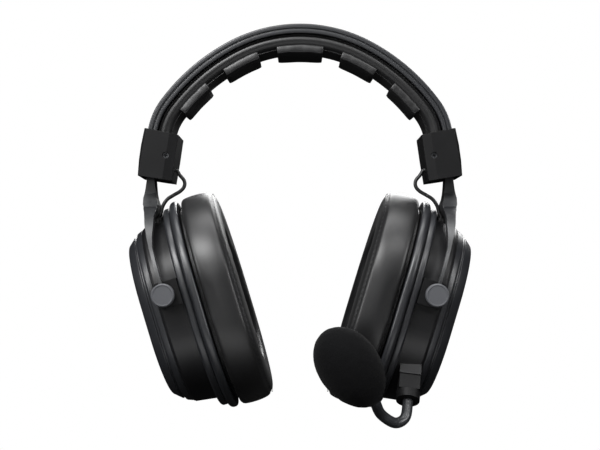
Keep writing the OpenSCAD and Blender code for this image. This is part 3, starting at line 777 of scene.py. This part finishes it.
def stitchTree():
    # Sets one stretched ball per stitch along a seam line.
    tree = bpy.data.node_groups.new("StitchesAlongSeam", "GeometryNodeTree")
    face = tree.interface
    face.new_socket("Seam", in_out="INPUT", socket_type="NodeSocketGeometry")
    for label, value in (("Spacing", 3.2 * mm), ("Length", 2.2 * mm), ("Thickness", 0.42 * mm)):
        face.new_socket(label, in_out="INPUT", socket_type="NodeSocketFloat").default_value = value
    face.new_socket("Seed", in_out="INPUT", socket_type="NodeSocketInt").default_value = 7
    face.new_socket("Thread", in_out="INPUT", socket_type="NodeSocketMaterial")
    face.new_socket("Stitches", in_out="OUTPUT", socket_type="NodeSocketGeometry")
    start = addNode(tree, "NodeGroupInput").outputs
    curve = addNode(tree, "GeometryNodeMeshToCurve", links={"Mesh": start["Seam"]})
    points = addNode(tree, "GeometryNodeCurveToPoints", links={"Curve": curve.outputs[0],
                                                               "Length": start["Spacing"]},
                     mode="LENGTH")
    ball = addNode(tree, "GeometryNodeMeshUVSphere", {"Segments": 10, "Rings": 6, "Radius": 0.5})
    wobble = addNode(tree, "FunctionNodeRandomValue", links={"Seed": start["Seed"]},
                     data_type="FLOAT")
    wobble.inputs[2].default_value, wobble.inputs[3].default_value = 0.92, 1.05
    longWay = mathNode(tree, "MULTIPLY", start["Length"], wobble.outputs[1])
    scale = addNode(tree, "ShaderNodeCombineXYZ", links={"X": start["Thickness"],
                                                         "Y": start["Thickness"],
                                                         "Z": longWay})
    aim = addNode(tree, "FunctionNodeAlignRotationToVector", links={
        "Vector": points.outputs["Tangent"]}, axis="Z")
    put = addNode(tree, "GeometryNodeInstanceOnPoints", links={
        "Points": points.outputs["Points"], "Instance": ball.outputs["Mesh"],
        "Rotation": aim.outputs[0], "Scale": scale.outputs[0]})
    real = addNode(tree, "GeometryNodeRealizeInstances", links={"Geometry": put.outputs[0]})
    dress = addNode(tree, "GeometryNodeSetMaterial", links={"Geometry": real.outputs[0],
                                                            "Material": start["Thread"]})
    addNode(tree, "NodeGroupOutput", links={"Stitches": dress.outputs[0]})
    return tree


stitches = stitchTree()


def sew(name, paths, body, closed, **inputs):
    mesh = bpy.data.meshes.new(name)
    points, edges = [], []
    for path in paths:
        first = len(points)
        points += toMetres(path)
        edges += [(i, i + 1) for i in range(first, len(points) - 1)]
        if closed:
            edges.append((len(points) - 1, first))
    mesh.from_pydata(points, edges, [])
    obj = bpy.data.objects.new(name, mesh)
    scene.collection.objects.link(obj)
    modifier = obj.modifiers.new("stitches", "NODES")
    modifier.node_group = stitches
    inputs["Thread"] = materials["SewingThread"]
    for item in stitches.interface.items_tree:
        if item.in_out == "INPUT" and item.name in inputs:
            modifier[item.identifier] = inputs[item.name]
    applyModifiers(obj)
    for polygon in obj.data.polygons:
        polygon.use_smooth = True
    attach(obj, body)


for isLeft in (False, True):
    sew("earPadStitches_" + sideOf(isLeft), [rimPath(45.0, 36.1, isLeft)],
        "cup_" + sideOf(isLeft), True, Spacing=3.0 * mm, Length=1.9 * mm, Thickness=0.3 * mm)
seamLook = dict(reach=104, steps=160, out=8.6, sunk=0.18)
cushionSeams = [[archPoint(-seamLook["reach"] + 2 * seamLook["reach"] * i / seamLook["steps"],
                           arch["cushionLow"] - seamLook["sunk"], y * seamLook["out"])
                 for i in range(seamLook["steps"] + 1)] for y in (-1, 1)]
sew("cushionStitches", cushionSeams, "headband", False,
    Spacing=3.4 * mm, Length=2.2 * mm, Thickness=0.3 * mm)
print("stage: stitches sewn")


# The studio: floor and camera distances, and how bright the surroundings are.

studio = dict(floorRadius=600, floorLevel=-420, surround=0.015, gamma=0.86,
              target=(0, 0, -0.08775), distance=0.7, lift=-2, lens=80, sensor=36)
target = Vector(studio["target"])


def makeFloor():
    wide = studio["floorRadius"]
    floor = buildMesh("floor", [(wide * math.cos(a), wide * math.sin(a), studio["floorLevel"])
                                for a in (2 * math.pi * k / 96 for k in range(96))],
                      [tuple(range(96))], False)
    paper = bpy.data.materials.new("PaleFloor")
    paper.use_nodes = True
    shader = paper.node_tree.nodes["Principled BSDF"]
    shader.inputs["Base Color"].default_value = toLinear("#d6d6d6")
    shader.inputs["Roughness"].default_value = 0.8
    floor.data.materials.append(paper)
    floor.visible_diffuse = floor.visible_glossy = False


def makeWorld():
    # White to the camera, nearly dark to everything that it would light.
    world = bpy.data.worlds.new("softStudio")
    world.use_nodes = True
    tree = world.node_tree
    tree.nodes.clear()
    seen = addNode(tree, "ShaderNodeBackground", {"Color": (1, 1, 1, 1), "Strength": 1.0})
    felt = addNode(tree, "ShaderNodeBackground",
                   {"Color": (1, 1, 1, 1), "Strength": studio["surround"]})
    ray = addNode(tree, "ShaderNodeLightPath")
    mix = addNode(tree, "ShaderNodeMixShader", links={"Fac": ray.outputs["Is Camera Ray"]})
    tree.links.new(felt.outputs[0], mix.inputs[1])
    tree.links.new(seen.outputs[0], mix.inputs[2])
    out = addNode(tree, "ShaderNodeOutputWorld")
    tree.links.new(mix.outputs[0], out.inputs["Surface"])
    scene.world = world


# Places and sizes in metres, power in watts.
softboxes = {
    "key": dict(place=(-0.5, -0.95, 0.8), size=(0.7, 0.4), power=27),
    "fill": dict(place=(0.45, -0.9, 0.9), size=(0.5, 0.3), power=8),
    "back": dict(place=(0.25, 1.0, 0.5), size=(0.9, 0.6), power=12),
    "left": dict(place=(-1.1, -0.6, 0.3), size=(0.3, 0.6), power=11),
    "right": dict(place=(1.1, -0.6, 0.3), size=(0.3, 0.6), power=9),
    "top": dict(place=(0.0, -0.1, 1.1), size=(1.2, 0.4), power=15),
    "front": dict(place=(-0.2, -1.3, 0.15), size=(0.25, 0.35), power=2),
    "low": dict(place=(0.0, -0.45, -0.4), size=(0.9, 0.2), power=1.6),
}


def makeLights():
    for name, box in softboxes.items():
        data = bpy.data.lights.new(name, "AREA")
        data.shape, data.size, data.size_y = "RECTANGLE", *box["size"]
        data.energy = box["power"]
        lamp = bpy.data.objects.new(name, data)
        lamp.location = box["place"]
        lamp.visible_camera = False
        lamp.rotation_euler = (target - Vector(box["place"])).to_track_quat("-Z", "Y").to_euler()
        scene.collection.objects.link(lamp)


def makeCamera():
    data = bpy.data.cameras.new("camera")
    data.lens, data.sensor_width = studio["lens"], studio["sensor"]
    data.clip_start, data.clip_end = 0.01, 20
    camera = bpy.data.objects.new("camera", data)
    e = math.radians(studio["lift"])
    camera.location = target + studio["distance"] * Vector((0, -math.cos(e), math.sin(e)))
    camera.rotation_euler = (target - camera.location).to_track_quat("-Z", "Y").to_euler()
    scene.collection.objects.link(camera)
    scene.camera = camera


makeFloor()
makeWorld()
makeLights()
makeCamera()
scene.view_settings.view_transform = "Standard"
scene.view_settings.gamma = studio["gamma"]
print("stage: studio set")
